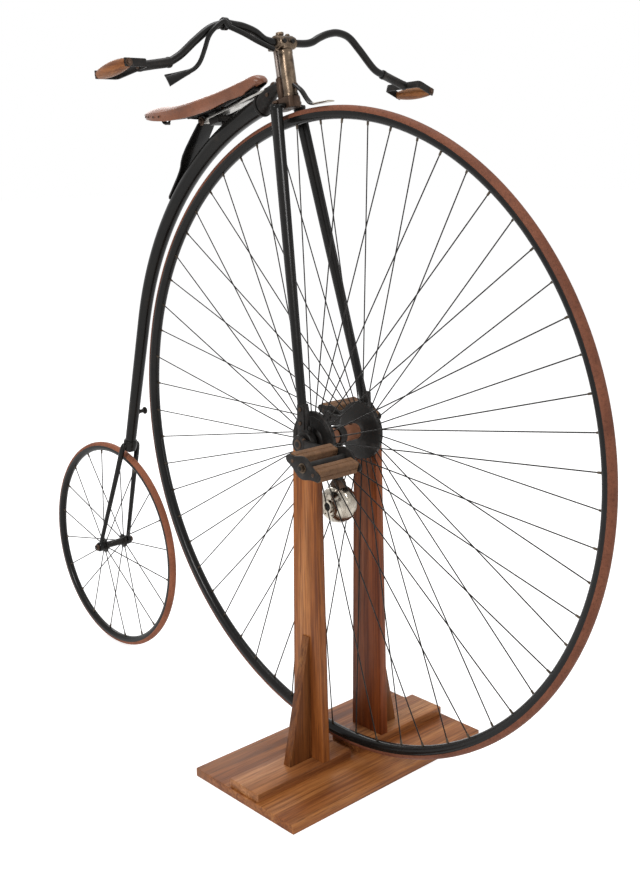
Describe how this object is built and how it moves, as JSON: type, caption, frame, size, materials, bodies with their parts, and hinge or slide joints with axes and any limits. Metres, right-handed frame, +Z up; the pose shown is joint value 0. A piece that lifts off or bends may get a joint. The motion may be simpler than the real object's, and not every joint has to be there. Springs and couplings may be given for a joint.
{
  "type": "penny farthing bicycle on a wooden display stand",
  "caption": "High-wheel bicycle with solid tyres, open steering head, leather saddle and spade grips, held upright by its front axle in a wooden display stand.",
  "frame": {"origin": "centre of the underside of the stand's base, straight below the front axle", "axes": "+X is the riding direction, +Y the rider's left, +Z up; the front wheel turns about Y"},
  "size_m": [1.7829, 0.8121, 1.5296],
  "materials": {
    "oak": "satin varnish",
    "worn_steel": "worn",
    "black_enamel": "gloss, worn",
    "forged_steel": "dark satin",
    "worn_nickel": "worn satin",
    "grip_wood": "worn varnish",
    "saddle_leather": "worn satin",
    "spring_steel": "satin",
    "front_rubber": "matte",
    "rear_rubber": "matte",
    "spoke_steel": "dark satin",
    "pedal_rubber": "matte",
    "bright_nickel": "worn gloss"
  },
  "bodies": {
    "fork": {"stand_base": "oak", "stand_board_right": "oak", "stand_board_left": "oak", "stand_post_right": "oak", "stand_post_left": "oak", "stand_gusset_right": "oak", "stand_gusset_left": "oak", "fork_crown": "worn_steel", "fork_leg_right": "black_enamel", "fork_leg_left": "black_enamel", "fork_foot_right": "forged_steel", "fork_foot_left": "forged_steel", "head_column": "worn_nickel", "handlebar_clamp": "worn_nickel", "handlebar_right": "black_enamel", "handlebar_left": "black_enamel", "grip_frame_right": "forged_steel", "grip_frame_left": "forged_steel", "grip_right": "grip_wood", "grip_left": "grip_wood", "brake_lever": "black_enamel", "brake_spoon": "black_enamel"},
    "backbone": {"neck": "forged_steel", "backbone": "black_enamel", "rear_fork": "black_enamel", "rear_axle_bolt": "forged_steel", "saddle_leather": "saddle_leather", "saddle_frame": "forged_steel", "saddle_spring": "spring_steel", "spring_tail": "black_enamel", "mounting_step": "forged_steel"},
    "front_wheel": {"front_tyre": "front_rubber", "front_rim": "black_enamel", "front_spokes": "spoke_steel", "front_hub": "forged_steel", "crank_right": "forged_steel", "crank_left": "forged_steel"},
    "pedal_right": {"pedal_frame_right": "forged_steel", "pedal_blocks_right": "pedal_rubber"},
    "pedal_left": {"pedal_frame_left": "forged_steel", "pedal_blocks_left": "pedal_rubber"},
    "rear_wheel": {"rear_tyre": "rear_rubber", "rear_rim": "black_enamel", "rear_spokes": "spoke_steel", "rear_hub": "forged_steel"},
    "cyclometer": {"cyclometer": "bright_nickel"}
  },
  "joints": [
    {"name": "steering", "type": "hinge", "parent": "fork", "child": "backbone", "pos_m": [-0.027, 0, 0.7], "axis": [-0.1822, 0, 0.9833], "range_deg": [-30, 30]},
    {"name": "front_wheel_spin", "type": "hinge", "parent": "fork", "child": "front_wheel", "pos_m": [0, 0, 0.7], "axis": [0, 1, 0], "continuous": true},
    {"name": "pedal_right_spin", "type": "hinge", "parent": "front_wheel", "child": "pedal_right", "pos_m": [0.14, -0.1695, 0.7], "axis": [0, 1, 0], "continuous": true},
    {"name": "pedal_left_spin", "type": "hinge", "parent": "front_wheel", "child": "pedal_left", "pos_m": [-0.14, 0.1695, 0.7], "axis": [0, 1, 0], "continuous": true},
    {"name": "rear_wheel_spin", "type": "hinge", "parent": "backbone", "child": "rear_wheel", "pos_m": [-0.855, 0, 0.268], "axis": [0, 1, 0], "continuous": true},
    {"name": "cyclometer_swing", "type": "hinge", "parent": "fork", "child": "cyclometer", "pos_m": [0, 0, 0.7], "axis": [0, 1, 0], "continuous": true}
  ]
}
